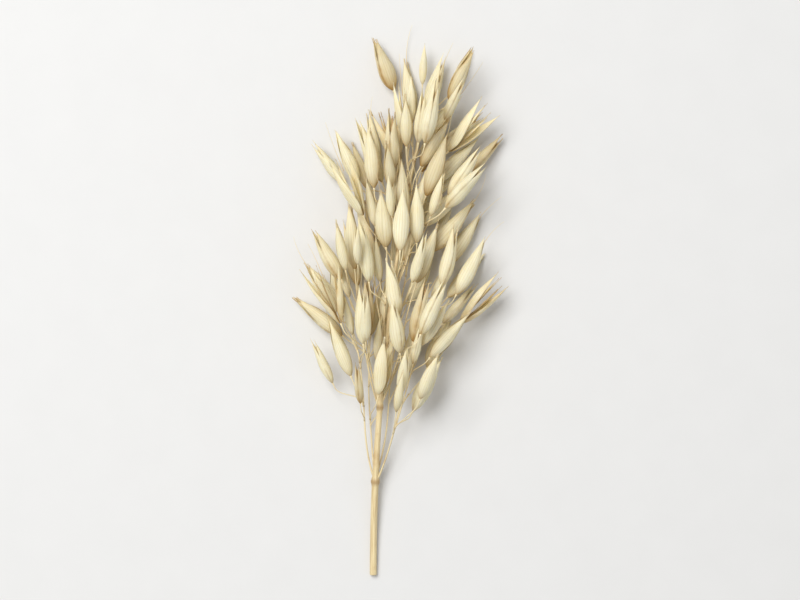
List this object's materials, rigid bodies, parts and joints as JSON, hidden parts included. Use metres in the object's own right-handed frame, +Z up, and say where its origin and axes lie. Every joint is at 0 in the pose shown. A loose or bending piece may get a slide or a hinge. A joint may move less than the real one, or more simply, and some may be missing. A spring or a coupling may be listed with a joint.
{
  "type": "dried oat head",
  "caption": "Dried oat head lying down: thin branches fan from a short hollow straw, each ending in a papery, pointed spikelet that is closed or splits at its tip.",
  "frame": {"origin": "middle of the box that holds the part, on the surface it lies on", "axes": "+Y from the cut end of the straw to the tips, +Z up from the surface, +X to the right seen from above with the tips away from the viewer"},
  "size_m": [0.0864, 0.2166, 0.0345],
  "materials": {
    "husk": "matt, papery, with fine lengthwise veins",
    "straw": "dry straw, faintly satin along its length"
  },
  "bodies": {
    "root": {"spikelet_1a1": "husk", "spikelet_1a2": "husk", "spikelet_1a3": "husk", "spikelet_1a4": "husk", "spikelet_1b1": "husk", "spikelet_1b2": "husk", "spikelet_1c1": "husk", "spikelet_1c2": "husk", "spikelet_1c3": "husk", "spikelet_1d1": "husk", "spikelet_1d2": "husk", "spikelet_1e1": "husk", "spikelet_1e2": "husk", "spikelet_1e3": "husk", "spikelet_2a1": "husk", "spikelet_2a2": "husk", "spikelet_2a3": "husk", "spikelet_2b1": "husk", "spikelet_2b2": "husk", "spikelet_2c1": "husk", "spikelet_2c2": "husk", "spikelet_2c3": "husk", "spikelet_2d1": "husk", "spikelet_2d2": "husk", "spikelet_3a1": "husk", "spikelet_3a2": "husk", "spikelet_3a3": "husk", "spikelet_3b1": "husk", "spikelet_3b2": "husk", "spikelet_3c1": "husk", "spikelet_3c2": "husk", "spikelet_3d1": "husk", "spikelet_4a1": "husk", "spikelet_4a2": "husk", "spikelet_4a3": "husk", "spikelet_4b1": "husk", "spikelet_4c1": "husk", "spikelet_4c2": "husk", "spikelet_4d1": "husk", "spikelet_5a1": "husk", "spikelet_5a2": "husk", "spikelet_5b1": "husk", "spikelet_5b2": "husk", "spikelet_5c1": "husk", "spikelet_5c2": "husk", "spikelet_6a1": "husk", "spikelet_6a2": "husk", "spikelet_6b1": "husk", "spikelet_6c1": "husk", "spikelet_7a1": "husk", "spikelet_7a2": "husk", "spikelet_7b1": "husk", "spikelet_8a1": "husk", "spikelet_8a2": "husk", "spikelet_8b1": "husk", "spikelet_9a1": "husk", "straw_and_branches": "straw"}
  },
  "joints": []
}
